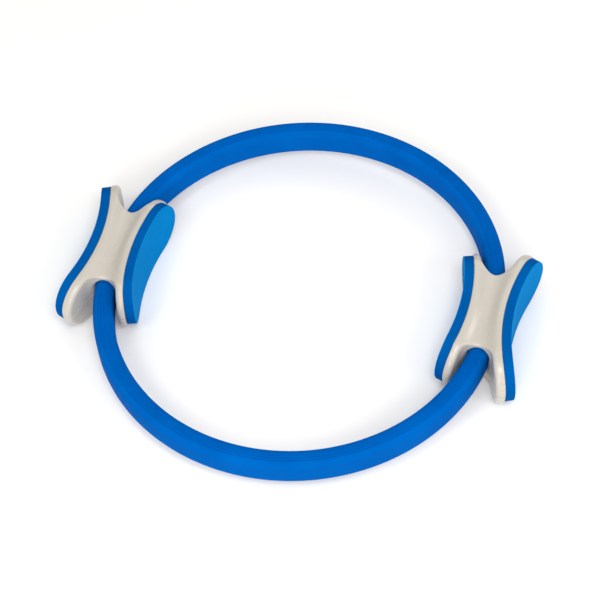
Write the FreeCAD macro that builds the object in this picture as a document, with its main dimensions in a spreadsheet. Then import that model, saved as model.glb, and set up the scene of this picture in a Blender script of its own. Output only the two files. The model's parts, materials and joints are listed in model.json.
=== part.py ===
import FreeCAD, Part
import Sketcher
import os
import re
from math import cos, pi, radians

# A Pilates ring (a hand-held resistance ring for exercise), lying on the floor.
#
# Frame: origin on the floor under the ring's centre, +Z up, the handles on the X axis.
# Two half hoops, front (-Y) and rear (+Y), join the left (-X) and right (+X) handles. Each half
# hoop is a foam tube over two nested glass-fibre strips, which are the springs. The strips bend
# when the handles are pressed together. That bending is gathered into upright hinge lines, one
# at each handle's mouth and one at each crown, so each half hoop is made of two quarters.
#
# Every quarter and every handle has the same shape, so each is drawn once, in its own local
# place (the rear right quarter, the right handle), and turned about an axis of the ring.

# Driving sizes in millimetres and degrees.
SIZES = {
    # hoop, seen from above
    "ring_length": 380.0,         # over the foam, from front to rear
    "handle_offset": 166.0,       # ring centre to the middle of a handle
    "mouth_angle": 8.8,           # slant of the hoop where it enters a handle
    "mid_height": 26.0,           # floor to the ring's middle plane
    "squeeze_relief": 14.6,       # half the notch that closes at a crown when squeezed
    "stretch_relief": 5.6,        # half the notch that closes at a crown when stretched
    "half_seam": 0.15,            # half the play where two quarters meet
    # foam tube
    "tube_width": 17.8,
    "tube_height": 29.6,
    "tube_corner": 8.0,
    # spring strips
    "strip_thick": 2.0,
    "strip_wide": 20.0,
    "strip_play": 0.1,            # strip face to the hoop's centreline
    "channel_play": 0.3,          # strip to foam
    # handle moulding, measured from the handle's middle
    "waist": 15.4,                # half thickness at the middle
    "inner_bend": 197.0,          # radius of the hollow face that looks at the ring's centre
    "outer_bend": 179.0,          # radius of the hollow face that looks outwards
    "inner_flange_thick": 7.0,
    "outer_flange_thick": 8.5,
    "inner_flange_reach": 65.6,
    "outer_flange_reach": 73.4,
    "flange_rise": 26.0,
    "flange_edge": 2.6,           # rounding of the flange's rim
    "hub_reach": 38.7,
    "hub_rise": 26.0,
    "valley_bottom": 20.0,        # middle plane to the lowest line of the hub's top
    "valley_radius": 17.0,
    "socket_play": 0.45,          # foam to plastic in a mouth
    "cavity_reach": 26.0,
    "cavity_half_width": 11.5,
    "cavity_rise": 15.8,
    "boss_radius": 3.9,
    "shell_play": 0.05,           # each shell to the seam between them
    # shell screws
    "screw_x": 8.0,
    "screw_y": 21.0,
    "screw_radius": 1.7,
    "screw_hole": 2.1,
    "pilot_hole": 1.75,
    "head_radius": 3.2,
    "head_thick": 2.4,
    "head_recess": 3.6,
    "head_seat": 17.0,            # middle plane to the underside of a head
    "screw_reach": 10.0,          # middle plane to the tip
    "slot_wide": 1.0,
    # splice of the strips' ends
    "plate_thick": 2.0,
    "plate_reach": 16.5,
    "plate_play": 0.1,
    "rivet_near": 5.5,
    "rivet_far": 12.0,
    "rivet_radius": 1.95,
    "rivet_hole": 2.0,
    "rivet_head_radius": 3.8,
    "rivet_head_thick": 1.5,
    "strip_end_gap": 0.6,         # handle's middle to a strip's cut end
    # pads
    "pad_thick": 8.0,
    "pad_rise": 26.0,
    "inner_pad_reach": 61.5,
    "outer_pad_reach": 69.4,
    "glue_gap": 0.05,
}

# Sizes that follow from the driving ones.
ARC_RADIUS = "(handle_offset / cos(mouth_angle))"
CROWN_Y = "(ring_length / 2 - tube_width / 2)"
ARC_OFFSET = "(" + CROWN_Y + " - " + ARC_RADIUS + ")"
ARC_SWEEP = "(90 - mouth_angle)"
MOUTH_Y = "(" + ARC_OFFSET + " + handle_offset * tan(mouth_angle))"
CHANNEL_HALF = "(strip_play + strip_thick + channel_play)"
CHANNEL_RISE = "(strip_wide / 2 + channel_play)"
SOCKET_RADIUS = "(tube_width / 2 + socket_play)"
SOCKET_FLOOR = "(" + MOUTH_Y + " - " + SOCKET_RADIUS + ")"
VALLEY_TOP = "(valley_bottom + valley_radius)"

MARGIN = "2"                      # how far a cutting tool runs past what it cuts
UPRIGHT = FreeCAD.Vector(0, 0, 1)
ACROSS = FreeCAD.Vector(0, 1, 0)
ALONG = FreeCAD.Vector(1, 0, 0)

doc = FreeCAD.newDocument("PilatesRing")
sheet = doc.addObject("Spreadsheet::Sheet", "Sizes")
for row, (alias, value) in enumerate(SIZES.items(), start=1):
    sheet.set("A%d" % row, alias)
    sheet.set("B%d" % row, str(value))
    sheet.setAlias("B%d" % row, alias)
doc.recompute()


def formula(text):
    """An expression of the sheet's cells, from one that names the aliases alone."""
    return re.sub(r"[a-z_]+", lambda word: "Sizes." + word[0] if word[0] in SIZES else word[0], text)


def bind(item, **formulas):
    """Tie an object's properties to the sheet."""
    for name, text in formulas.items():
        item.setExpression(name, formula(text))


def place(item, x="0", y="0", z="0", axis=UPRIGHT, turn="0"):
    """Tie an object's place to the sheet, turned about an axis through its own origin."""
    item.Placement = FreeCAD.Placement(FreeCAD.Vector(), FreeCAD.Rotation(axis, 1))
    for name, text in (("Base.x", x), ("Base.y", y), ("Base.z", z), ("Rotation.Angle", turn)):
        item.setExpression("Placement." + name, formula(text))


def box(name, x, y, z):
    """A box from the low and high formula of each side."""
    item = doc.addObject("Part::Box", name)
    sides = ["(%s) - (%s)" % (high, low) for low, high in (x, y, z)]
    bind(item, Length=sides[0], Width=sides[1], Height=sides[2])
    place(item, x[0], y[0], z[0])
    return item


def cylinder(name, radius, low, high, x="0", y="0", sweep="360"):
    """An upright cylinder, or a sector of one."""
    item = doc.addObject("Part::Cylinder", name)
    bind(item, Radius=radius, Height="(%s) - (%s)" % (high, low), Angle=sweep)
    place(item, x, y, low)
    return item


def cross_cylinder(name, radius, low, high, y="0", z="0"):
    """A cylinder that lies along X."""
    item = doc.addObject("Part::Cylinder", name)
    bind(item, Radius=radius, Height="(%s) - (%s)" % (high, low))
    place(item, low, y, z, ACROSS, "90")
    return item


def fuse(name, *parts):
    item = doc.addObject("Part::MultiFuse", name)
    item.Shapes = list(parts)
    return item


def cut(name, base, *tools):
    item = doc.addObject("Part::Cut", name)
    item.Base = base
    item.Tool = tools[0] if len(tools) == 1 else fuse(name + "_tools", *tools)
    return item


def common(name, base, tool):
    item = doc.addObject("Part::Common", name)
    item.Base = base
    item.Tool = tool
    return item


def origin_plane(body, role):
    return next(item for item in body.Origin.OriginFeatures if item.Role == role)


def new_sketch(body, name, role):
    sketch = body.newObject("Sketcher::SketchObject", name)
    sketch.AttachmentSupport = (origin_plane(body, role), [""])
    sketch.MapMode = "FlatFace"
    return sketch


def size(alias):
    """The sheet's value, for the starting places of a sketch's points."""
    return float(sheet.get(alias))


# ---------------------------------------------------------------- sketches

def arc_line_outline(sketch, line_ends, arcs):
    """A closed outline of lines and quarter or half turns, each line running into its arc."""
    for (start, end), (centre, radius, low, high) in zip(line_ends, arcs):
        sketch.addGeometry(Part.LineSegment(FreeCAD.Vector(*start), FreeCAD.Vector(*end)), False)
        circle = Part.Circle(FreeCAD.Vector(*centre), UPRIGHT, radius)
        sketch.addGeometry(Part.ArcOfCircle(circle, low, high), False)
    count = 2 * len(arcs)
    for index in range(count):
        sketch.addConstraint(Sketcher.Constraint("Tangent", index, 2, (index + 1) % count, 1))
    for index in range(3, count, 2):
        sketch.addConstraint(Sketcher.Constraint("Equal", 1, index))


def dimension(sketch, name, constraint, text):
    """A named dimension tied to the sheet."""
    sketch.addConstraint(constraint)
    sketch.renameConstraint(sketch.ConstraintCount - 1, name)
    sketch.setExpression("Constraints." + name, formula(text))


def draw_tube_section(sketch):
    """The foam tube's section, a rounded rectangle out at the arc's radius."""
    middle = size("handle_offset") / cos(radians(size("mouth_angle")))
    x = size("tube_width") / 2
    y = size("tube_height") / 2
    r = size("tube_corner")
    left, right = middle - x, middle + x
    lines = [
        ((left + r, -y, 0), (right - r, -y, 0)),
        ((right, -y + r, 0), (right, y - r, 0)),
        ((right - r, y, 0), (left + r, y, 0)),
        ((left, y - r, 0), (left, -y + r, 0)),
    ]
    arcs = [
        ((right - r, -y + r, 0), r, -pi / 2, 0),
        ((right - r, y - r, 0), r, 0, pi / 2),
        ((left + r, y - r, 0), r, pi / 2, pi),
        ((left + r, -y + r, 0), r, pi, 1.5 * pi),
    ]
    arc_line_outline(sketch, lines, arcs)
    for index, kind in ((0, "Horizontal"), (2, "Vertical"), (4, "Horizontal"), (6, "Vertical")):
        sketch.addConstraint(Sketcher.Constraint(kind, index))
    dimension(sketch, "corner", Sketcher.Constraint("Radius", 1, r), "tube_corner")
    dimension(sketch, "width", Sketcher.Constraint("DistanceX", 6, 1, 2, 1, 2 * x), "tube_width")
    dimension(sketch, "height", Sketcher.Constraint("DistanceY", 0, 1, 4, 1, 2 * y), "tube_height")
    dimension(sketch, "top", Sketcher.Constraint("DistanceY", -1, 1, 4, 1, y), "tube_height / 2")
    dimension(sketch, "reach", Sketcher.Constraint("DistanceX", -1, 1, 2, 1, right),
              ARC_RADIUS + " + tube_width / 2")


def draw_stadium(sketch, rise, reach):
    """A level slot shape about the origin, with full round ends."""
    r = size(rise)
    x = size(reach) - r
    lines = [((-x, -r, 0), (x, -r, 0)), ((x, r, 0), (-x, r, 0))]
    arcs = [((x, 0, 0), r, -pi / 2, pi / 2), ((-x, 0, 0), r, pi / 2, 1.5 * pi)]
    arc_line_outline(sketch, lines, arcs)
    sketch.addConstraint(Sketcher.Constraint("Horizontal", 0))
    dimension(sketch, "rise", Sketcher.Constraint("Radius", 1, r), rise)
    dimension(sketch, "high", Sketcher.Constraint("DistanceY", -1, 1, 2, 1, r), rise)
    dimension(sketch, "right", Sketcher.Constraint("DistanceX", -1, 1, 2, 1, x), reach + " - " + rise)
    dimension(sketch, "left", Sketcher.Constraint("DistanceX", 2, 2, -1, 1, x), reach + " - " + rise)


# ---------------------------------------------------------------- quarters of the hoop
# Local place: ring's centre at the origin, middle plane at Z 0, the quarter with X > 0 and Y > 0.

QUARTERS = {
    "rear_right": (UPRIGHT, "0"),
    "front_left": (UPRIGHT, "180"),
    "rear_left": (ACROSS, "180"),
    "front_right": (ALONG, "180"),
}


def set_quarter(item, label, axis, turn):
    """Name a finished piece and turn it from the drawn quarter into its own."""
    item.Label = label
    place(item, "0", "0", "mid_height", axis, turn)
    pieces.append(item)


def sector_ring(name, inner, outer, half_height):
    """A curved bar along the hoop's arc, from the mouth to the crown."""
    rings = []
    for part, radius in (("outside", outer), ("inside", inner)):
        ring = cylinder(name + "_" + part, radius, "-" + half_height, half_height, sweep=ARC_SWEEP)
        place(ring, "0", ARC_OFFSET, "-" + half_height, UPRIGHT, "mouth_angle")
        rings.append(ring)
    return cut(name + "_ring", *rings)


def crown_notch(name):
    """The wedges that leave room for the next quarter to turn about the crown's hinge line."""
    wedges = []
    for part, turn in (("inner", "180 + squeeze_relief"), ("outer", "90 - stretch_relief")):
        wedge = doc.addObject("Part::Box", name + "_" + part)
        bind(wedge, Length="2 * tube_width", Width="2 * tube_width", Height="2 * tube_height")
        place(wedge, "half_seam", CROWN_Y, "-tube_height", UPRIGHT, turn)
        wedges.append(wedge)
    return fuse(name, *wedges)


def rounded_knuckle(name):
    """The tube's full round end at the mouth, centred on the mouth's hinge line."""
    post = cylinder(name + "_post", "tube_width / 2", "-tube_height / 2", "tube_height / 2")
    doc.recompute()
    knuckle = doc.addObject("Part::Fillet", name)
    knuckle.Base = post
    rims = [index for index, edge in enumerate(post.Shape.Edges, start=1) if edge.Closed]
    knuckle.Edges = [(index, size("tube_corner"), size("tube_corner")) for index in rims]
    place(knuckle, "handle_offset", MOUTH_Y)
    return knuckle


def make_sleeve(quarter, axis, turn):
    """The foam tube of one quarter, with the channel that holds the strips."""
    body = doc.addObject("PartDesign::Body", "tube_" + quarter)
    section = new_sketch(body, "tube_section_" + quarter, "XZ_Plane")
    draw_tube_section(section)
    sweep = body.newObject("PartDesign::Revolution", "tube_sweep_" + quarter)
    sweep.Profile = section
    sweep.ReferenceAxis = (section, ["V_Axis"])
    bind(sweep, Angle=ARC_SWEEP)
    place(body, "0", ARC_OFFSET, "0", UPRIGHT, "mouth_angle")
    doc.recompute()
    if body.Shape.BoundBox.YMin < 0:
        sweep.Reversed = True
    foam = fuse("foam_" + quarter, body, rounded_knuckle("knuckle_" + quarter))
    channel = sector_ring("channel_" + quarter, ARC_RADIUS + " - " + CHANNEL_HALF,
                          ARC_RADIUS + " + " + CHANNEL_HALF, CHANNEL_RISE)
    sleeve = cut("cut_sleeve_" + quarter, foam, channel, crown_notch("sleeve_notch_" + quarter))
    set_quarter(sleeve, "sleeve_" + quarter, axis, turn)


def make_strip(kind, quarter, axis, turn):
    """One of the two nested spring strips of a quarter."""
    near, far = "strip_play", "(strip_play + strip_thick)"
    if kind == "outer":
        low, high = ARC_RADIUS + " + " + near, ARC_RADIUS + " + " + far
    else:
        low, high = ARC_RADIUS + " - " + far, ARC_RADIUS + " - " + near
    name = kind + "_strip_" + quarter
    bar = sector_ring(name, low, high, "(strip_wide / 2)")
    strip = cut("cut_" + name, bar, crown_notch(name + "_notch"))
    set_quarter(strip, "strip_" + kind + "_" + quarter, axis, turn)


# ---------------------------------------------------------------- handles
# Local place: a handle's middle at the origin, +X away from the ring, +Y along the handle.

SIDES = {"right": ("handle_offset", "0"), "left": ("-handle_offset", "180")}
ENDS = {"right": {"-": "front", "": "rear"}, "left": {"-": "rear", "": "front"}}
FACES = {"outer": ("", "waist + outer_bend", "outer_bend"),
         "inner": ("-", "-(waist + inner_bend)", "inner_bend")}
SCREW_SPOTS = [("screw_x", "screw_y"), ("screw_x", "-screw_y"),
               ("-screw_x", "screw_y"), ("-screw_x", "-screw_y")]
RIVET_SPOTS = {"": ["rivet_near", "rivet_far"], "-": ["-rivet_near", "-rivet_far"]}
ALL_RIVETS = RIVET_SPOTS[""] + RIVET_SPOTS["-"]
STACK = "(strip_play + strip_thick + plate_play + plate_thick)"


def set_handle(item, label, side):
    """Name a finished piece and move it from the drawn handle to its own."""
    item.Label = label + "_" + side
    offset, turn = SIDES[side]
    place(item, offset, "0", "mid_height", UPRIGHT, turn)
    pieces.append(item)


def curved_plate(name, face, rise, reach, near, far):
    """A slot-shaped plate bent round a handle's hollow face, between two depths behind it."""
    sign, centre, bend = FACES[face]
    body = doc.addObject("PartDesign::Body", name + "_blank")
    outline = new_sketch(body, name + "_outline", "YZ_Plane")
    draw_stadium(outline, rise, reach)
    pad = body.newObject("PartDesign::Pad", name + "_block")
    pad.Profile = outline
    pad.Reversed = sign == "-"
    bind(pad, Length="3 * waist")
    low, high = "-2 * flange_rise", "2 * flange_rise"
    behind = cylinder(name + "_back", bend + " + " + far, low, high, centre)
    before = cylinder(name + "_front", bend + " + " + near, low, high, centre)
    return common(name + "_plate", body, cut(name + "_band", behind, before))


def soften_rim(name, plate, radius):
    """Round both edges that run round a bent plate."""
    doc.recompute()
    rim = [index for index, edge in enumerate(plate.Shape.Edges, start=1)
           if edge.Curve.TypeId != "Part::GeomLine"]
    soft = doc.addObject("Part::Fillet", name)
    soft.Base = plate
    soft.Edges = [(index, radius, radius) for index in rim]
    return soft


def make_moulding(side):
    """The whole handle moulding, before it is split into its two shells."""
    flanges = []
    for face in FACES:
        name = face + "_flange_" + side
        plate = curved_plate(name, face, "flange_rise", face + "_flange_reach",
                             "0", face + "_flange_thick")
        flanges.append(soften_rim(name, plate, size("flange_edge")))
    block = box("hub_block_" + side, ("-2 * waist", "2 * waist"), ("-hub_reach", "hub_reach"),
                ("-hub_rise", "hub_rise"))
    hollows = [cylinder(face + "_hollow_" + side, bend + " + " + face + "_flange_thick / 2",
                        "-2 * hub_rise", "2 * hub_rise", centre)
               for face, (sign, centre, bend) in FACES.items()]
    valleys = []
    for part, sign in (("top", ""), ("bottom", "-")):
        valley = doc.addObject("Part::Cylinder", part + "_valley_" + side)
        bind(valley, Radius="valley_radius", Height="2 * (hub_reach + %s)" % MARGIN)
        place(valley, "0", "hub_reach + " + MARGIN, sign + VALLEY_TOP, ALONG, "90")
        valleys.append(valley)
    hub = cut("hub_" + side, block, *hollows)
    return cut("moulding_" + side, fuse("raw_moulding_" + side, hub, *flanges), *valleys)


def make_hollows(side):
    """The mouths, the strips' slots and the splice's chamber inside a handle."""
    tools = [box("chamber_" + side, ("-cavity_half_width", "cavity_half_width"),
                 ("-cavity_reach", "cavity_reach"), ("-cavity_rise", "cavity_rise")),
             box("slots_" + side, ("-" + CHANNEL_HALF, CHANNEL_HALF), ("-" + MOUTH_Y, MOUTH_Y),
                 ("-" + CHANNEL_RISE, CHANNEL_RISE))]
    rise = "(tube_height / 2 + socket_play)"
    for end, sign in (("near", "-"), ("far", "")):
        tools.append(cylinder("%s_mouth_%s" % (end, side), SOCKET_RADIUS, "-" + rise, rise,
                              "0", sign + MOUTH_Y))
    return tools


def make_shell(half, side):
    """The upper or lower shell of a handle, with its four screw bosses."""
    name = "%s_%s" % (half, side)
    room = "2 * flange_rise"
    heights = ("shell_play", room) if half == "upper" else ("-" + room, "-shell_play")
    keep = box("keep_" + name, ("-6 * waist", "6 * waist"),
               ("-4 * flange_rise", "4 * flange_rise"), heights)
    hollow = cut("hollow_" + name, make_moulding(name), *make_hollows(name))
    bosses = [cylinder("boss_%s_%d" % (name, spot), "boss_radius", "-cavity_rise", "cavity_rise", x, y)
              for spot, (x, y) in enumerate(SCREW_SPOTS)]
    holes = []
    for spot, (x, y) in enumerate(SCREW_SPOTS):
        if half == "upper":
            holes.append(cylinder("pilot_%s_%d" % (name, spot), "pilot_hole", "-" + MARGIN,
                                  "screw_reach + " + MARGIN, x, y))
        else:
            holes.append(cylinder("clear_%s_%d" % (name, spot), "screw_hole", "-flange_rise",
                                  MARGIN, x, y))
            holes.append(cylinder("recess_%s_%d" % (name, spot), "head_recess",
                                  "-flange_rise - " + MARGIN, "-head_seat", x, y))
    bossed = fuse("bossed_" + name, hollow, *bosses)
    shell = common("shell_" + name, cut("drilled_" + name, bossed, *holes), keep)
    set_handle(shell, "handle_" + half, side)


def make_screws(side):
    """The four screws that hold a handle's shells together, driven up from below."""
    screws = []
    for spot, (x, y) in enumerate(SCREW_SPOTS):
        name = "screw_%s_%d" % (side, spot)
        shank = cylinder(name + "_shank", "screw_radius", "-head_seat", "screw_reach", x, y)
        head = cylinder(name + "_head", "head_radius", "-head_seat - head_thick", "-head_seat", x, y)
        low = ("-head_seat - head_thick - " + MARGIN, "-head_seat - head_thick / 2")
        long_x = (x + " - head_radius * 0.6", x + " + head_radius * 0.6")
        long_y = (y + " - head_radius * 0.6", y + " + head_radius * 0.6")
        thin_x = (x + " - slot_wide / 2", x + " + slot_wide / 2")
        thin_y = (y + " - slot_wide / 2", y + " + slot_wide / 2")
        cross = [box(name + "_slot_x", long_x, thin_y, low), box(name + "_slot_y", thin_x, long_y, low)]
        screws.append(cut(name, fuse(name + "_blank", shank, head), *cross))
    group = doc.addObject("Part::Compound", "screws_" + side)
    group.Links = screws
    set_handle(group, "handle_screws", side)


def make_pad(face, side):
    """A foam pad glued to a handle's hollow face."""
    name = face + "_pad_" + side
    pad = curved_plate(name, face, "pad_rise", face + "_pad_reach", "-(pad_thick)", "-glue_gap")
    set_handle(pad, "pad_" + face, side)


def drilled_bar(name, x, y, rivets):
    """A flat upright bar across the splice, with a hole for each rivet that crosses it."""
    bar = box(name + "_bar", x, y, ("-strip_wide / 2", "strip_wide / 2"))
    holes = [cross_cylinder("%s_hole_%d" % (name, index), "rivet_hole", "-2 * waist", "2 * waist", spot)
             for index, spot in enumerate(rivets)]
    return cut(name, bar, *holes)


def make_splice(side):
    """The strips' flat ends, the plates that clamp them and the rivets through both."""
    strip_near, strip_far = "strip_play", "(strip_play + strip_thick)"
    strips = {"outer": (strip_near, strip_far), "inner": ("-" + strip_far, "-" + strip_near)}
    plate_near = "(%s - plate_thick)" % STACK
    plates = {"outer": (plate_near, STACK), "inner": ("-" + STACK, "-" + plate_near)}
    for face in ("outer", "inner"):
        for sign, end in ENDS[side].items():
            reach = [sign + "strip_end_gap", sign + "(%s - strip_end_gap)" % SOCKET_FLOOR]
            if sign:
                reach.reverse()
            bar = drilled_bar("%s_end_%s_%s" % (face, end, side), strips[face], reach, RIVET_SPOTS[sign])
            set_handle(bar, "strip_end_%s_%s" % (face, end), side)
        plate = drilled_bar("%s_plate_%s" % (face, side), plates[face],
                            ("-plate_reach", "plate_reach"), ALL_RIVETS)
        set_handle(plate, "splice_plate_" + face, side)
    rivets = []
    for index, spot in enumerate(ALL_RIVETS):
        name = "rivet_%s_%d" % (side, index)
        shank = cross_cylinder(name + "_shank", "rivet_radius", "-" + STACK, STACK, spot)
        head = cross_cylinder(name + "_head", "rivet_head_radius",
                              STACK, STACK + " + rivet_head_thick", spot)
        tail = cross_cylinder(name + "_tail", "rivet_head_radius", "-" + STACK + " - rivet_head_thick",
                              "-" + STACK, spot)
        rivets.append(fuse(name, shank, head, tail))
    group = doc.addObject("Part::Compound", "rivets_" + side)
    group.Links = rivets
    set_handle(group, "splice_rivets", side)


# ---------------------------------------------------------------- assembly

pieces = []
for quarter, (axis, turn) in QUARTERS.items():
    make_sleeve(quarter, axis, turn)
    make_strip("outer", quarter, axis, turn)
    make_strip("inner", quarter, axis, turn)
for side in SIDES:
    make_shell("upper", side)
    make_shell("lower", side)
    make_screws(side)
    make_pad("inner", side)
    make_pad("outer", side)
    make_splice(side)
doc.recompute()

for item in doc.Objects:
    if "Invalid" in item.State or "Error" in item.State:
        raise RuntimeError("%s did not build: %s" % (item.Label, item.State))
for piece in pieces:
    if piece.Shape.isNull() or not piece.Shape.isValid():
        raise RuntimeError("%s has no valid shape" % piece.Label)

os.makedirs("parts", exist_ok=True)
for piece in pieces:
    piece.Shape.exportStep("parts/%s.step" % piece.Label)
    print("%-32s %10.1f mm3" % (piece.Label, piece.Shape.Volume))
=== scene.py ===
import itertools
import json
import math

import bmesh
import bpy
import numpy as np
from mathutils import Matrix, Vector


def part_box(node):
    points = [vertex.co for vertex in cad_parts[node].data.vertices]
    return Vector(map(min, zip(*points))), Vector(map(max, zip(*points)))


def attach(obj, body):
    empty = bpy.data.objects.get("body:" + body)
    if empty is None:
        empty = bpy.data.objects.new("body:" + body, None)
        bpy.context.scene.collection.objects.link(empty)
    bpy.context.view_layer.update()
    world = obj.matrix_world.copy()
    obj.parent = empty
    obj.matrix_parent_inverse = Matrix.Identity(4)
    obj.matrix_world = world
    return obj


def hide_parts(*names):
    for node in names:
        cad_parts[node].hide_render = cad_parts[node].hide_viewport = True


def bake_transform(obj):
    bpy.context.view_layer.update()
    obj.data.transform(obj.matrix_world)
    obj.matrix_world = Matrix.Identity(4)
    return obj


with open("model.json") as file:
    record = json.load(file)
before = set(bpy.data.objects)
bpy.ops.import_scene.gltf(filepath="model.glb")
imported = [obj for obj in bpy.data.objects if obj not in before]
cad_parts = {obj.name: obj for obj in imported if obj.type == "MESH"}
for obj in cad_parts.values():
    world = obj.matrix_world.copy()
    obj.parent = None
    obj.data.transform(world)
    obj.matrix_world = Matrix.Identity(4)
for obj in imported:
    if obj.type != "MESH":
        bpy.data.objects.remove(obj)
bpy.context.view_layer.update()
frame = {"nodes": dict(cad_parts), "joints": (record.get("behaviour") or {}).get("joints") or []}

# A Pilates ring on a pale floor. Lengths are millimetres, and meshes are turned into metres when
# they are made. A handle is drawn in its own place: the handle's middle at the origin, X away
# from the ring's centre, Y along the handle and Z up. The left handle is the right one turned
# half round, so its X and Y change sign.

MM = 0.001
SIDES = {"right": 1.0, "left": -1.0}
RING_HALVES = {"front": -1.0, "rear": 1.0}


# ---------------------------------------------------------------- sizes shared by the pieces

def joint_place(name):
    """How far a joint is from the origin along X, Y and Z."""
    joint = next(item for item in frame["joints"] if item["name"] == name)
    return [abs(value) / MM for value in joint["pos_m"]]


def high_of(node):
    """The highest X, Y and Z of a CAD node."""
    return [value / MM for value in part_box(node)[1]]


HANDLE_X, MOUTH_Y, MID_Z = joint_place("squeeze")
CROWN_Y = joint_place("rear_crown_bend")[1]
TUBE_HALF_HIGH = high_of("sleeve_rear_right")[2] - MID_Z
TUBE_HALF_WIDE = high_of("sleeve_rear_right")[1] - CROWN_Y
ARC_RADIUS = (HANDLE_X ** 2 + (CROWN_Y - MOUTH_Y) ** 2) / (2 * (CROWN_Y - MOUTH_Y))
ARC_CENTRE_Y = CROWN_Y - ARC_RADIUS
MOUTH_SLANT = math.acos(HANDLE_X / ARC_RADIUS)
STRIP_HALF_WIDE = high_of("strip_outer_rear_right")[2] - MID_Z
STRIP_FAR = high_of("strip_outer_rear_right")[1] - CROWN_Y
STRIP_NEAR = high_of("strip_inner_rear_right")[1] - CROWN_Y
STRIPS = {"outer": (-STRIP_NEAR, STRIP_FAR), "inner": (-STRIP_FAR, STRIP_NEAR)}
RISE = MID_Z                                  # flanges and pads both reach from floor to twice this
WAIST = 15.4                                  # half thickness of the moulding at its middle
PAD_THICK = 8.0
GLUE_GAP = 0.02
BENDS = {"outer": 179.0, "inner": 197.0}      # radii of the two hollow faces that the pads lie on
SIGNS = {"outer": 1.0, "inner": -1.0}         # the way each hollow face looks along X


def arc_reach(node, bend):
    """Half a bent plate's length along its middle, from its node's reach along Y."""
    return bend * math.asin(high_of(node)[1] / bend)


# ---------------------------------------------------------------- materials

def linear(red, green, blue):
    """A colour from its screen values, 0 to 255."""
    return tuple((value / 255) ** 2.2 for value in (red, green, blue)) + (1.0,)


class Nodes:
    """A material's node tree, with short calls to add and join nodes."""

    def __init__(self, name):
        self.material = bpy.data.materials.new(name)
        self.material.use_nodes = True
        self.tree = self.material.node_tree
        self.shader = self.tree.nodes["Principled BSDF"]
        self.place = self.add("ShaderNodeTexCoord").outputs["Object"]

    def add(self, kind, **settings):
        node = self.tree.nodes.new(kind)
        for name, value in settings.items():
            setattr(node, name, value)
        return node

    def join(self, output, target):
        self.tree.links.new(output, target)

    def stretched(self, scale):
        """The object's coordinates, scaled apart along each axis."""
        mapping = self.add("ShaderNodeMapping")
        mapping.inputs["Scale"].default_value = scale
        self.join(self.place, mapping.inputs["Vector"])
        return mapping.outputs["Vector"]

    def noise(self, scale, detail=3.0, roughness=0.5, place=None):
        node = self.add("ShaderNodeTexNoise")
        node.inputs["Scale"].default_value = scale
        node.inputs["Detail"].default_value = detail
        node.inputs["Roughness"].default_value = roughness
        self.join(place or self.place, node.inputs["Vector"])
        return node.outputs["Fac"]

    def pores(self, scale):
        node = self.add("ShaderNodeTexVoronoi")
        node.inputs["Scale"].default_value = scale
        self.join(self.place, node.inputs["Vector"])
        return node.outputs["Distance"]

    def span(self, value, low, high, to_low, to_high):
        """A value's range from low to high, moved to another range."""
        node = self.add("ShaderNodeMapRange")
        ends = {"From Min": low, "From Max": high, "To Min": to_low, "To Max": to_high}
        for name, number in ends.items():
            node.inputs[name].default_value = number
        self.join(value, node.inputs["Value"])
        return node.outputs["Result"]

    def mix(self, factor, first, second):
        node = self.add("ShaderNodeMix", data_type="RGBA")
        self.join(factor, node.inputs["Factor"])
        for socket, colour in ((node.inputs["A"], first), (node.inputs["B"], second)):
            if isinstance(colour, tuple):
                socket.default_value = colour
            else:
                self.join(colour, socket)
        return node.outputs["Result"]

    def bump(self, height, strength, distance, under=None):
        """A bump of a height in millimetres, on top of another one where there is one."""
        node = self.add("ShaderNodeBump")
        node.inputs["Strength"].default_value = strength
        node.inputs["Distance"].default_value = distance * MM
        self.join(height, node.inputs["Height"])
        if under is not None:
            self.join(under, node.inputs["Normal"])
        return node.outputs["Normal"]

    def finish(self, colour, roughness, normal, **fixed):
        """Join up the shader, and set what is the same all over the surface."""
        self.join(colour, self.shader.inputs["Base Color"])
        self.join(roughness, self.shader.inputs["Roughness"])
        self.join(normal, self.shader.inputs["Normal"])
        for name, value in fixed.items():
            self.shader.inputs[name.replace("_", " ")].default_value = value
        return self.material


def foam_material(name, dark, light, rough_low, rough_high, pore_scale):
    """Closed-cell foam: a dull skin of fine cells, a little mottled."""
    n = Nodes(name)
    mottle = n.span(n.noise(35.0, 4.0), 0.3, 0.7, 0.0, 1.0)
    grain = n.span(n.noise(1400.0, 2.0), 0.35, 0.65, 0.0, 1.0)
    colour = n.mix(n.span(grain, 0.0, 1.0, 0.0, 0.25), n.mix(mottle, dark, light), dark)
    roughness = n.span(grain, 0.0, 1.0, rough_low, rough_high)
    cells = n.bump(n.pores(pore_scale), 0.35, 0.12)
    skin = n.bump(n.noise(500.0, 5.0, 0.6), 0.25, 0.12, cells)
    return n.finish(colour, roughness, skin, Specular_IOR_Level=0.012, Specular_Tint=linear(0, 150, 255))


def plastic_material():
    """Satin cream moulded plastic with the slightest flow marks and handling scuffs."""
    n = Nodes("cream_plastic")
    cloud = n.span(n.noise(22.0, 3.0), 0.3, 0.7, 0.0, 1.0)
    colour = n.mix(cloud, linear(185, 178, 167), linear(189, 182, 172))
    scuffs = n.noise(140.0, 5.0, 0.6, n.stretched((1.0, 0.25, 1.0)))
    roughness = n.span(scuffs, 0.3, 0.7, 0.26, 0.31)
    wave = n.bump(n.noise(60.0, 2.0), 0.015, 0.3)
    fine = n.bump(n.noise(1100.0, 3.0), 0.015, 0.03, wave)
    return n.finish(colour, roughness, fine, Coat_Weight=0.15, Coat_Roughness=0.2)


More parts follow.
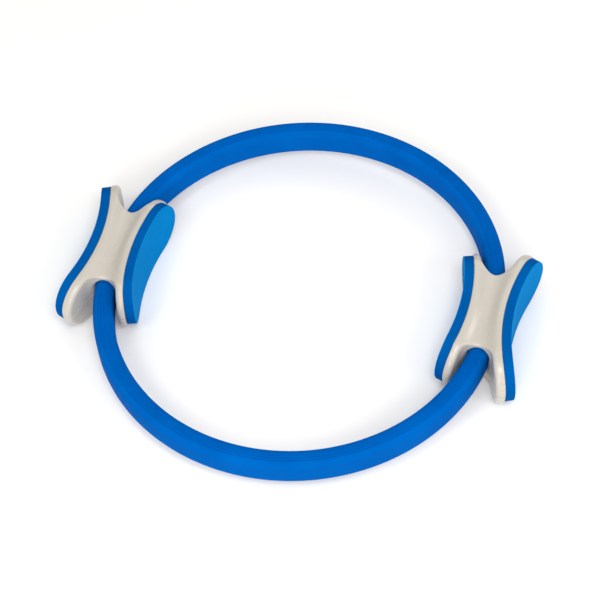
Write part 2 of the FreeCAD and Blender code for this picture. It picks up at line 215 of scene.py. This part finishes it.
def strip_material():
    """Pultruded glass fibre: pale resin with streaks along the fibres."""
    n = Nodes("glass_fibre_strip")
    streaks = n.noise(120.0, 6.0, 0.7, n.stretched((0.3, 0.3, 14.0)))
    colour = n.mix(n.span(streaks, 0.35, 0.65, 0.0, 1.0), linear(190, 184, 138), linear(222, 218, 182))
    roughness = n.span(streaks, 0.3, 0.7, 0.35, 0.55)
    return n.finish(colour, roughness, n.bump(streaks, 0.3, 0.08))


def metal_material(name, dark, light, rough_low, rough_high):
    """Plated metal with brushing and small spots."""
    n = Nodes(name)
    brush = n.noise(200.0, 5.0, 0.6, n.stretched((1.0, 8.0, 1.0)))
    spots = n.span(n.noise(160.0, 3.0), 0.4, 0.7, 0.0, 1.0)
    colour = n.mix(spots, light, dark)
    roughness = n.span(brush, 0.3, 0.7, rough_low, rough_high)
    return n.finish(colour, roughness, n.bump(brush, 0.15, 0.05), Metallic=1.0)


TUBE_FOAM = foam_material("tube_foam_skin", linear(0, 86, 164), linear(0, 93, 174), 0.62, 0.82, 1500.0)
PAD_FACE = foam_material("pad_foam_face", linear(0, 118, 184), linear(0, 125, 193), 0.6, 0.8, 1300.0)
# The cut edge's darker blue is painted shade, for the pads' up-facing rims that take less light than
# their faces; its rougher finish and coarser pores are the cut foam's own.
PAD_SHADED_EDGE = foam_material("pad_foam_cut_edge", linear(0, 80, 147), linear(0, 87, 157), 0.75, 0.95, 800.0)
PLASTIC = plastic_material()
STRIP = strip_material()
PLATE = metal_material("zinc_plate", linear(150, 152, 158), linear(196, 198, 204), 0.25, 0.45)
RIVET = metal_material("rivet_aluminium", linear(176, 178, 182), linear(214, 216, 220), 0.2, 0.4)
SCREW = metal_material("screw_zinc", linear(140, 142, 146), linear(190, 192, 196), 0.22, 0.4)


# ---------------------------------------------------------------- meshes

WELD_DISTANCE = 0.05


def make_object(name, points, faces, materials, face_material=None):
    """A smooth-shaded object from points in millimetres."""
    mesh = bpy.data.meshes.new(name)
    mesh.from_pydata((np.asarray(points) * MM).tolist(), [], [list(face) for face in faces])
    for material in materials:
        mesh.materials.append(material)
    if face_material is not None:
        mesh.polygons.foreach_set("material_index", np.asarray(face_material, np.int32))
    mesh.update()
    mesh.shade_smooth()
    piece = bpy.data.objects.new(name, mesh)
    bpy.context.scene.collection.objects.link(piece)
    return piece


def weld(piece):
    """Join points that lie together, and turn the faces outwards."""
    work = bmesh.new()
    work.from_mesh(piece.data)
    bmesh.ops.remove_doubles(work, verts=work.verts, dist=WELD_DISTANCE * MM)
    bmesh.ops.dissolve_degenerate(work, edges=work.edges, dist=WELD_DISTANCE * MM)
    bmesh.ops.recalc_face_normals(work, faces=work.faces)
    work.to_mesh(piece.data)
    work.free()
    piece.data.update()


def to_handle(points, side):
    """From a handle's own place to the ring's."""
    x, y, z = points.T
    turn = SIDES[side]
    return np.column_stack([(x + HANDLE_X) * turn, y * turn, z + MID_Z])


def grid_faces(rows, columns, closed_rows, closed_columns):
    """Quads between the points of a grid stored row by row."""
    row_count = rows if closed_rows else rows - 1
    column_count = columns if closed_columns else columns - 1
    r, c = np.meshgrid(np.arange(row_count), np.arange(column_count), indexing="ij")
    r, c = r.ravel(), c.ravel()
    r2, c2 = (r + 1) % rows, (c + 1) % columns
    return np.column_stack([r * columns + c, r * columns + c2, r2 * columns + c2, r2 * columns + c])


# ---------------------------------------------------------------- foam tube

RIB_PITCH = 2.4
RIB_DEPTH = 0.9
# The ribs reach 38 degrees each side of their band's middle, and fade out by 46.
RIB_BAND = (math.cos(math.radians(46)), math.cos(math.radians(38)))
# The turn of a tube's two bands about its length, inwards at the top where positive, so that
# both tubes' top bands lean to the rear.
RIB_TURN = {"front": math.radians(15), "rear": math.radians(-15)}
TUBE_CORNER = 8.2
# The spacing of points round the tube, round its channel, round a strip and along all three.
SECTION_STEP = 0.33
CHANNEL_STEP = 4.0
STRIP_STEP = 1.0
PATH_STEP = 4.0
END_STATIONS = 9                              # sections in a tube's rounded end
CHANNEL_PLAY = 0.3
STRIP_CORNER = 0.3


def rounded_section(low_x, high_x, half_high, corner, step):
    """Points round a rounded rectangle, anticlockwise, with the way each one faces."""
    points, facings = [], []
    centres = [(high_x - corner, -half_high + corner), (high_x - corner, half_high - corner),
               (low_x + corner, half_high - corner), (low_x + corner, -half_high + corner)]
    steps = max(2, round(corner * math.pi / 2 / step))
    for index, (x, z) in enumerate(centres):
        turns = np.radians(90 * index - 90 + np.linspace(0, 90, steps + 1))
        facing = np.column_stack([np.cos(turns), np.sin(turns)])
        points.append(np.array([x, z]) + corner * facing)
        facings.append(facing)
        next_x, next_z = centres[(index + 1) % 4]
        run = np.array([next_x - x, next_z - z])
        pieces = max(1, round(math.hypot(*run) / step))
        shares = np.arange(1, pieces)[:, None] / pieces
        points.append(points[-1][-1] + shares * run)
        facings.append(np.repeat(facing[-1:], len(shares), axis=0))
    return np.concatenate(points), np.concatenate(facings)


def ribbed_section(turn):
    """The tube's section, with shallow grooves in a band along its top and one along its bottom."""
    points, facings = rounded_section(-TUBE_HALF_WIDE, TUBE_HALF_WIDE, TUBE_HALF_HIGH,
                                      TUBE_CORNER, SECTION_STEP)
    lift = np.abs(facings[:, 1] * math.cos(turn) - facings[:, 0] * math.sin(turn))
    band = np.clip((lift - RIB_BAND[0]) / (RIB_BAND[1] - RIB_BAND[0]), 0.0, 1.0)
    flat = TUBE_HALF_WIDE - TUBE_CORNER
    along = np.arctan2(facings[:, 0], np.abs(facings[:, 1])) * TUBE_CORNER
    along += np.clip(points[:, 0], -flat, flat)
    groove = 0.5 - 0.5 * np.cos(2 * math.pi * along / RIB_PITCH)
    return points - facings * (RIB_DEPTH * band * groove ** 2)[:, None]


def hoop_stations(half, round_ends):
    """Places along a half hoop, left mouth to right: middle, outward way, width and height shares."""
    sweep = math.pi - 2 * MOUTH_SLANT
    angles = np.linspace(math.pi - MOUTH_SLANT, MOUTH_SLANT, round(sweep * ARC_RADIUS / PATH_STEP) + 1)
    stations = [(ARC_RADIUS * math.cos(a), ARC_CENTRE_Y + ARC_RADIUS * math.sin(a),
                 math.cos(a), math.sin(a), 1.0, 1.0) for a in angles]
    ends = []
    for step in range(1, END_STATIONS + 1) if round_ends else ():
        turn = math.pi / 2 * step / (END_STATIONS + 0.5)
        far = TUBE_HALF_WIDE * math.sin(turn)
        past = max(0.0, far - (TUBE_HALF_WIDE - TUBE_CORNER))
        top = TUBE_HALF_HIGH - TUBE_CORNER + math.sqrt(TUBE_CORNER ** 2 - past ** 2)
        ends.append((far, math.cos(turn), top / TUBE_HALF_HIGH))
    first, last = stations[0], stations[-1]
    start = [(first[0] - first[3] * far, first[1] + first[2] * far, first[2], first[3], wide, high)
             for far, wide, high in reversed(ends)]
    finish = [(last[0] + last[3] * far, last[1] - last[2] * far, last[2], last[3], wide, high)
              for far, wide, high in ends]
    flip = RING_HALVES[half]
    return [(x, y * flip, ox, oy * flip, wide, high)
            for x, y, ox, oy, wide, high in start + stations + finish]


def bar_mesh(stations, section, hollow=False):
    """Points and outward faces of a closed bar along a half hoop, or inward ones for a hollow."""
    rows = []
    for x, y, out_x, out_y, wide, high in stations:
        across = section[:, 0] * wide
        up = section[:, 1] * high
        rows.append(np.column_stack([x + out_x * across, y + out_y * across, MID_Z + up]))
    count, around = len(rows), len(section)
    faces = grid_faces(count, around, False, True).tolist()
    faces.append(list(range(around))[::-1])
    faces.append(list(range((count - 1) * around, count * around)))
    clockwise = stations[0][1] > 0
    if clockwise == hollow:
        faces = [face[::-1] for face in faces]
    return np.concatenate(rows), faces


def blend_over_crown(piece):
    """Bake a half hoop's piece's placement into its points; the piece already runs whole from its left
    quarter to its right one.
    """
    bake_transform(piece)


def make_tube(half):
    """The foam tube of a half hoop, with the sealed channel that its strips lie in."""
    points, faces = bar_mesh(hoop_stations(half, True), ribbed_section(RIB_TURN[half]))
    room = max(abs(value) for strip in STRIPS.values() for value in strip) + CHANNEL_PLAY
    half_high = STRIP_HALF_WIDE + CHANNEL_PLAY
    channel = rounded_section(-room, room, half_high, STRIP_CORNER, CHANNEL_STEP)[0]
    inner_points, inner_faces = bar_mesh(hoop_stations(half, False), channel, hollow=True)
    faces += [[corner + len(points) for corner in face] for face in inner_faces]
    piece = make_object("foam_tube_" + half, np.concatenate([points, inner_points]), faces, [TUBE_FOAM])
    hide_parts("sleeve_%s_left" % half, "sleeve_%s_right" % half)
    blend_over_crown(piece)


def make_strips(half):
    """The two nested glass-fibre strips of a half hoop."""
    for kind, (low, high) in STRIPS.items():
        section = rounded_section(low, high, STRIP_HALF_WIDE, STRIP_CORNER, STRIP_STEP)[0]
        points, faces = bar_mesh(hoop_stations(half, False), section)
        piece = make_object("spring_strip_%s_%s" % (kind, half), points, faces, [STRIP])
        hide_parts("strip_%s_%s_left" % (kind, half), "strip_%s_%s_right" % (kind, half))
        blend_over_crown(piece)


# ---------------------------------------------------------------- pads

PAD_ROUND = 0.3
PAD_HOLD = PAD_ROUND * 1.2                    # loops this near an edge keep its shading crisp
PAD_POINTS = 200
PAD_MIDDLE = RISE - 0.02                      # the rows of points meet at the pad's middle line
FRONT_LOOPS = (PAD_MIDDLE, 22, 18, 14, 10, 7, 4.5, 2.5, PAD_HOLD)
BACK_LOOPS = (PAD_HOLD, 4, 10, 16, 22, PAD_MIDDLE)
SIDE_SHARES = (0.2, 0.4, 0.6, 0.8)
# The cut edge's material is the face's foam in a darker blue, as painted shade.
FACE, SHADED_CUT_EDGE = 0, 1                         # a pad's two materials


def stadium(reach, rise, count):
    """Points evenly round a slot shape, anticlockwise, and the way each one faces."""
    straight = 2 * (reach - rise)
    total = 2 * straight + 2 * math.pi * rise
    points, facings = [], []
    for index in range(count):
        go = total * (index + 0.5) / count
        if go < straight:
            points.append((-straight / 2 + go, -rise))
            facings.append((0.0, -1.0))
        elif go < straight + math.pi * rise:
            angle = (go - straight) / rise - math.pi / 2
            facings.append((math.cos(angle), math.sin(angle)))
            points.append((straight / 2 + rise * facings[-1][0], rise * facings[-1][1]))
        elif go < 2 * straight + math.pi * rise:
            points.append((straight / 2 - (go - straight - math.pi * rise), rise))
            facings.append((0.0, 1.0))
        else:
            angle = (go - 2 * straight - math.pi * rise) / rise + math.pi / 2
            facings.append((math.cos(angle), math.sin(angle)))
            points.append((-straight / 2 + rise * facings[-1][0], rise * facings[-1][1]))
    return np.array(points), np.array(facings)


def bend_plate(points, face):
    """From (along, up, depth) to a handle's own place. Depth is from the hollow face, inwards."""
    sign, bend = SIGNS[face], BENDS[face]
    radius = bend + points[:, 2]
    angle = points[:, 0] / (bend - PAD_THICK / 2)
    x = sign * (WAIST + bend - radius * np.cos(angle))
    return np.column_stack([x, radius * np.sin(angle), points[:, 1]])


def make_pad(face, side):
    """A die-cut foam pad bent onto a handle's hollow face."""
    reach = arc_reach("pad_%s_right" % face, BENDS[face] - PAD_THICK / 2)
    outline, facings = stadium(reach, RISE, PAD_POINTS)
    front, back = -PAD_THICK, -GLUE_GAP
    arc = [(PAD_ROUND * (1 - math.sin(a)), PAD_ROUND * (1 - math.cos(a)))
           for a in np.linspace(0, math.pi / 2, 5)]
    profile = [(inset, front, FACE) for inset in FRONT_LOOPS]
    profile += [(inset, front + down, FACE) for inset, down in arc]
    # The rim rows take the darker cut-edge material, whose darker blue is painted shade.
    profile += [(0.0, front + PAD_HOLD, SHADED_CUT_EDGE)]
    profile += [(0.0, front + (back - front) * share, SHADED_CUT_EDGE) for share in SIDE_SHARES]
    profile += [(0.0, back - PAD_HOLD, SHADED_CUT_EDGE)]
    profile += [(inset, back - down, SHADED_CUT_EDGE) for inset, down in reversed(arc)]
    profile += [(inset, back, FACE) for inset in BACK_LOOPS]
    rows = [np.column_stack([outline - facings * inset, np.full(len(outline), depth)])
            for inset, depth, part in profile]
    points = bend_plate(np.concatenate(rows), face)
    faces = grid_faces(len(rows), len(outline), False, True)
    parts = np.repeat([part for inset, depth, part in profile[:-1]], len(outline))
    piece = make_object("foam_pad_%s_%s" % (face, side), to_handle(points, side), faces,
                        [PAD_FACE, PAD_SHADED_EDGE], parts)
    weld(piece)
    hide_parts("pad_%s_%s" % (face, side))
    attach(piece, "handle_" + side)


# ---------------------------------------------------------------- handle shells

HUB_REACH = 38.7                              # half the hub's length, lip to lip
HUB_EDGE = 3.6
HUB_OVERLAP = 1.0                             # how far the hub runs into the flanges
VALLEY_DEPTH = 6.0                            # a smooth dip along the hub's top and bottom
VALLEY_HALF = {"waist": 11.5, "lip": 17.0}    # half its width
VALLEY_FLATNESS = 1.25
VALLEY_EDGE = 1.0
FILLET = 13.0                                 # how softly the flanges run into the hub
FLANGE_THICK = {"outer": 8.5, "inner": 7.0}
FLANGE_END = {"outer": 73.4, "inner": 65.6}   # along Y, at the middle of the flange's thickness
FLANGE_INSET = 0.05                           # the flanges' rims stay inside the pads' outline
PAD_SIDE_EDGE, HUB_SIDE_EDGE = 1.4, 4.0       # rounding of a flange's rim
RIM_EDGE = 1.0                                # rounding where the moulding meets a pad's back
SOCKET_PLAY = 0.45                            # clearance round the tube in a mouth
SOCKET_RADIUS = TUBE_HALF_WIDE + SOCKET_PLAY
SOCKET_HALF_HIGH = TUBE_HALF_HIGH + SOCKET_PLAY
SOCKET_CORNER = TUBE_CORNER - 0.4
SOCKET_EDGE = 2.0
SWING_IN = MOUTH_SLANT + math.radians(5.6)    # the tube's swing each way, with a little to spare
SWING_OUT = math.radians(14.6) - MOUTH_SLANT
CHAMBER = (11.5, 26.0, 15.8)                  # half sizes of the room round the splice
STRIP_SLOT = (2.4, MOUTH_Y - 5.0, 10.3)       # and of the slot that the strips' ends lie in
SCREW_X, SCREW_Y = 8.0, 21.0
BOSS_RADIUS = 3.9
PILOT_RADIUS, PILOT_TOP = 1.75, 12.0
CLEARANCE_RADIUS = 2.1
HEAD_RADIUS, HEAD_SEAT = 3.6, 17.0
SEAM = 0.06                                   # half the gap between the shells
SEAM_EDGE = 0.4
TOP_GAP = 0.02                                # keeps the moulding inside the CAD's height
GRID_REACH = (42.0, 77.0, RISE + 1.2)
SEAM_MARGIN = 1.0                             # how far a shell's grid runs past the seam
VOXEL = 0.8
SLOPE_STEP = 0.02
SETTLE_ROUNDS, SETTLE_LIMIT = 3, 0.4          # the limit is a share of the voxel
RELAX_ROUNDS, RELAX_SHARE = 4, 0.6


def union(a, b, soft):
    """Two distance fields joined, with a soft fillet between them."""
    share = np.clip(0.5 + 0.5 * (b - a) / soft, 0.0, 1.0)
    return b * (1 - share) + a * share - soft * share * (1 - share)


def overlap(a, b, soft):
    """What is inside both fields, with a soft edge."""
    return -union(-a, -b, soft)


def rounded(a, b, radius):
    """What is inside both fields, with its edge rounded to a radius."""
    a, b = a + radius, b + radius
    return np.minimum(np.maximum(a, b), 0.0) + np.hypot(np.maximum(a, 0.0), np.maximum(b, 0.0)) - radius


def depth_behind(x, y, face):
    """How far behind a hollow face a point is."""
    return np.hypot(x - SIGNS[face] * (WAIST + BENDS[face]), y) - BENDS[face]


def flange_field(x, y, z, face):
    """A bent slot-shaped plate, crisp beside its pad and well rounded on the hub's side."""
    thick = FLANGE_THICK[face]
    middle_bend = BENDS[face] + thick / 2
    centre = SIGNS[face] * (WAIST + BENDS[face])
    along = np.abs(np.arctan2(y, np.abs(x - centre))) * middle_bend
    straight = middle_bend * math.asin(FLANGE_END[face] / middle_bend) - RISE
    outline = np.hypot(np.maximum(along - straight, 0.0), z) - (RISE - FLANGE_INSET)
    depth = depth_behind(x, y, face)
    hub_side = rounded(outline, depth - thick, HUB_SIDE_EDGE)
    return np.maximum(hub_side, rounded(outline, -depth, PAD_SIDE_EDGE))


def tube_room(x, y, z):
    """The room that the foam tube needs in a mouth, over its whole swing."""
    beyond = np.abs(y) - MOUTH_Y
    inward = -x * math.cos(SWING_IN) - beyond * math.sin(SWING_IN) - SOCKET_RADIUS
    outward = x * math.cos(SWING_OUT) - beyond * math.sin(SWING_OUT) - SOCKET_RADIUS
    swept = np.maximum(np.maximum(inward, outward), -beyond)
    plan = np.minimum(np.hypot(x, beyond) - SOCKET_RADIUS, swept)
    return rounded(plan, np.abs(z) - SOCKET_HALF_HIGH, SOCKET_CORNER)


def block(x, y, z, half):
    """A box round the middle, from its half sizes."""
    return np.maximum(np.maximum(np.abs(x) - half[0], np.abs(y) - half[1]), np.abs(z) - half[2])


def post(x, y, radius):
    """The four upright posts on the screws' lines."""
    return np.hypot(np.abs(x) - SCREW_X, np.abs(y) - SCREW_Y) - radius


def hub_field(x, y, z):
    """The block between the flanges, and the dips in its top and bottom."""
    flange_backs = [depth_behind(x, y, face) - FLANGE_THICK[face] + HUB_OVERLAP for face in BENDS]
    spread = np.minimum(np.abs(y) / HUB_REACH, 1.0) ** 2
    half_wide = VALLEY_HALF["waist"] + (VALLEY_HALF["lip"] - VALLEY_HALF["waist"]) * spread
    across = np.minimum(np.abs(x) / half_wide, 1.0) ** VALLEY_FLATNESS
    valley = np.abs(z) - RISE + VALLEY_DEPTH * (0.5 + 0.5 * np.cos(math.pi * across))
    hub = overlap(np.abs(y) - HUB_REACH, valley, HUB_EDGE)
    return np.maximum(hub, -np.minimum(*flange_backs)), valley


def body_field(x, y, z):
    """Both shells as one moulding, with the rooms for the tube, the splice and the strips."""
    hub, valley = hub_field(x, y, z)
    flanges = np.minimum(flange_field(x, y, z, "outer"), flange_field(x, y, z, "inner"))
    body = overlap(union(hub, flanges, FILLET), valley, VALLEY_EDGE)
    for face in BENDS:
        body = rounded(body, -depth_behind(x, y, face), RIM_EDGE)
    body = np.maximum(body, np.abs(z) - RISE + TOP_GAP)
    body = overlap(body, -tube_room(x, y, z), SOCKET_EDGE)
    chamber = np.maximum(block(x, y, z, CHAMBER), -post(x, y, BOSS_RADIUS))
    body = np.maximum(body, -chamber)
    return np.maximum(body, -block(x, y, z, STRIP_SLOT))


def shell_field(x, y, z, half):
    """Distance to a handle's upper or lower shell, negative inside."""
    body = body_field(x, y, z)
    if half == "upper":
        pilots = np.maximum(post(x, y, PILOT_RADIUS), z - PILOT_TOP)
        return rounded(np.maximum(body, -pilots), SEAM - z, SEAM_EDGE)
    body = np.maximum(body, -post(x, y, CLEARANCE_RADIUS))
    body = np.maximum(body, -np.maximum(post(x, y, HEAD_RADIUS), z + HEAD_SEAT))
    return rounded(body, z + SEAM, SEAM_EDGE)


def surface_net(field, start, step):
    """The zero surface of a grid of distances, as points and quads facing outwards."""
    cells = np.array(field.shape) - 1
    total = np.zeros(tuple(cells) + (3,))
    count = np.zeros(tuple(cells))

    def corner(shift):
        """The field at one of every cell's eight corners."""
        return field[tuple(slice(s, s + n) for s, n in zip(shift, cells))]

    for axis in range(3):
        for pair in itertools.product((0, 1), repeat=2):
            low = list(pair)
            low.insert(axis, 0)
            high = list(low)
            high[axis] = 1
            near, far = corner(low), corner(high)
            crossed = (near < 0) != (far < 0)
            share = np.where(crossed, near / np.where(crossed, near - far, 1.0), 0.0)
            count += crossed
            for k in range(3):
                total[..., k] += crossed * low[k] + (share if k == axis else 0.0)
    active = count > 0
    index = np.full(tuple(cells), -1)
    index[active] = np.arange(active.sum())
    points = (total[active] / count[active][:, None] + np.argwhere(active)) * step + start
    quads = []
    inside = field < 0
    for axis in range(3):
        first, second = (axis + 1) % 3, (axis + 2) % 3
        low = [slice(None)] * 3
        high = [slice(None)] * 3
        low[axis], high[axis] = slice(None, -1), slice(1, None)
        changes = inside[tuple(low)] != inside[tuple(high)]
        spots = np.argwhere(changes)
        keep = (spots[:, first] > 0) & (spots[:, second] > 0)
        keep &= (spots[:, first] < cells[first]) & (spots[:, second] < cells[second])
        spots = spots[keep]
        a, b = np.eye(3, dtype=int)[[first, second]]
        quad = np.column_stack([index[tuple((spots - shift).T)] for shift in (a + b, b, 0 * a, a)])
        solid_low = inside[tuple(spots.T)]
        quads.append(np.where(solid_low[:, None], quad, quad[:, ::-1]))
    return points, np.concatenate(quads)


def slope_of(field, points):
    """The way the field rises at each point."""
    shifts = np.eye(3) * SLOPE_STEP
    rises = [field(*(points + shift).T) - field(*(points - shift).T) for shift in shifts]
    return np.column_stack(rises) / (2 * SLOPE_STEP)


def settle(points, field, step):
    """Move points onto the field's zero surface."""
    for _ in range(SETTLE_ROUNDS):
        slope = slope_of(field, points)
        move = -(field(*points.T) / np.maximum((slope ** 2).sum(1), 0.2))[:, None] * slope
        length = np.linalg.norm(move, axis=1, keepdims=True)
        points = points + move * np.minimum(1.0, SETTLE_LIMIT * step / np.maximum(length, 1e-9))
    return points


def relax(points, quads, field, step):
    """Spread points evenly over the surface, each towards the middle of its neighbours."""
    starts = np.concatenate([quads[:, k] for k in range(4)])
    ends = np.concatenate([quads[:, (k + 1) % 4] for k in range(4)])
    pairs = np.unique(np.sort(np.column_stack([starts, ends]), axis=1), axis=0)
    starts, ends = np.concatenate([pairs, pairs[:, ::-1]]).T
    count = np.bincount(starts, minlength=len(points))
    for _ in range(RELAX_ROUNDS):
        sums = [np.bincount(starts, points[ends, k], len(points)) for k in range(3)]
        move = np.column_stack(sums) / count[:, None] - points
        slope = slope_of(field, points)
        facing = slope / np.maximum(np.linalg.norm(slope, axis=1, keepdims=True), 1e-9)
        move -= facing * (move * facing).sum(1)[:, None]
        points = settle(points + RELAX_SHARE * move, field, step)
    return points


def shell_mesh(half):
    """Points and quads of one shell in a handle's own place."""
    high = np.array(GRID_REACH)
    low = -high
    if half == "upper":
        low[2] = -SEAM_MARGIN
    else:
        high[2] = SEAM_MARGIN
    counts = np.ceil((high - low) / VOXEL).astype(int) + 1
    axes = [low[k] + VOXEL * np.arange(counts[k]) for k in range(3)]

    def field(x, y, z):
        return shell_field(x, y, z, half)

    grid = np.meshgrid(*axes, indexing="ij")
    points, quads = surface_net(field(*grid), low, VOXEL)
    points = settle(points, field, VOXEL)
    return relax(points, quads, field, VOXEL), quads


def make_shells():
    """Both shells of each handle, from one mesh for the upper ones and one for the lower ones."""
    for half in ("upper", "lower"):
        points, quads = shell_mesh(half)
        for side in SIDES:
            name = "handle_shell_%s_%s" % (half, side)
            piece = make_object(name, to_handle(points, side), quads, [PLASTIC])
            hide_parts("handle_%s_%s" % (half, side))
            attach(piece, "handle_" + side)


# ---------------------------------------------------------------- carried-over hardware

NODE_MATERIALS = {
    "strip_end": STRIP,
    "splice_plate": PLATE,
    "splice_rivets": RIVET,
    "handle_screws": SCREW,
}


def dress_nodes():
    """Better materials on the CAD pieces that stay."""
    for name, node in frame["nodes"].items():
        for start, material in NODE_MATERIALS.items():
            if name.startswith(start):
                node.data.materials.clear()
                node.data.materials.append(material)


# ---------------------------------------------------------------- room, light and camera

FLOOR_HALF = 6.0                              # metres
FLOOR_DROP = 0.3                              # the floor lies this much under the ring


def make_floor():
    """A plain pale floor."""
    mesh = bpy.data.meshes.new("floor")
    corners = [(x * FLOOR_HALF, y * FLOOR_HALF, 0) for x, y in ((-1, -1), (1, -1), (1, 1), (-1, 1))]
    mesh.from_pydata(corners, [], [(0, 1, 2, 3)])
    floor = bpy.data.objects.new("floor", mesh)
    bpy.context.scene.collection.objects.link(floor)
    n = Nodes("pale_floor")
    tint = n.span(n.noise(3.0, 2.0), 0.3, 0.7, 0.0, 1.0)
    colour = n.mix(tint, (0.935, 0.92, 0.89, 1.0), (0.945, 0.93, 0.90, 1.0))
    roughness = n.span(tint, 0.0, 1.0, 0.8, 0.85)
    n.finish(colour, roughness, n.bump(tint, 0.02, 0.1), Specular_IOR_Level=0.1)
    mesh.materials.append(n.material)
    floor.location.z = -FLOOR_DROP * MM


LIGHT_DISTANCE = 2.0                          # metres
LIGHT_SIZE = 0.6
# A softbox's direction in degrees, anticlockwise from +X and up from the floor, and its power.
SOFTBOXES = {
    "front_low": (-90, 22, 9.0),
    "right_low": (22, 22, 5.6),
    "left": (-120, 53, 5.2),
    "front": (-75, 40, 4.8),
    "right": (-30, 40, 4.9),
    "high": (-60, 60, 10.3),
    "top": (-90, 78, 2.1),
    "rear": (80, 40, 1.7),
}
WORLD_STRENGTH = 0.6


def make_lights():
    """Softboxes all round, strongest in front and above, in an evenly lit white room."""
    for name, (compass, height, power) in SOFTBOXES.items():
        compass, height = math.radians(compass), math.radians(height)
        away = Vector((math.cos(height) * math.cos(compass), math.cos(height) * math.sin(compass),
                       math.sin(height)))
        data = bpy.data.lights.new(name, "AREA")
        data.shape = "DISK"
        data.size = LIGHT_SIZE
        data.energy = power
        light = bpy.data.objects.new(name, data)
        bpy.context.scene.collection.objects.link(light)
        light.location = away * LIGHT_DISTANCE
        light.rotation_mode = "QUATERNION"
        light.rotation_quaternion = away.to_track_quat("Z", "Y")
    world = bpy.data.worlds.new("studio")
    world.use_nodes = True
    world.node_tree.nodes["Background"].inputs["Color"].default_value = (1.0, 1.0, 1.0, 1.0)
    world.node_tree.nodes["Background"].inputs["Strength"].default_value = WORLD_STRENGTH
    bpy.context.scene.world = world
    bpy.context.scene.view_settings.view_transform = "Standard"


CAMERA_AZIMUTH = math.radians(17.73)
CAMERA_ELEVATION = math.radians(52.55)
CAMERA_ROLL = math.radians(-4.19)
CAMERA_DISTANCE = 1.564                       # metres
CAMERA_LENS = 107.0
CAMERA_SHIFT = (0.0005, -0.0169)


def make_camera():
    """A camera that looks at the ring's middle, a little rolled."""
    level, tilt = CAMERA_AZIMUTH, CAMERA_ELEVATION
    back = Vector((math.sin(level) * math.cos(tilt), -math.cos(level) * math.cos(tilt), math.sin(tilt)))
    right = Vector((math.cos(level), math.sin(level), 0.0))
    up = back.cross(right)
    rolled_right = right * math.cos(CAMERA_ROLL) + up * math.sin(CAMERA_ROLL)
    rolled_up = up * math.cos(CAMERA_ROLL) - right * math.sin(CAMERA_ROLL)
    turn = Matrix((rolled_right, rolled_up, back)).transposed()
    data = bpy.data.cameras.new("camera")
    data.sensor_width = 36.0
    data.lens = CAMERA_LENS
    data.shift_x, data.shift_y = CAMERA_SHIFT
    camera = bpy.data.objects.new("camera", data)
    bpy.context.scene.collection.objects.link(camera)
    place = back * CAMERA_DISTANCE + Vector((0, 0, MID_Z * MM))
    camera.matrix_world = Matrix.Translation(place) @ turn.to_4x4()
    bpy.context.scene.camera = camera


# ---------------------------------------------------------------- the ring

for half in RING_HALVES:
    make_tube(half)
    make_strips(half)
for side in SIDES:
    for face in BENDS:
        make_pad(face, side)
make_shells()
dress_nodes()
make_floor()
make_lights()
make_camera()
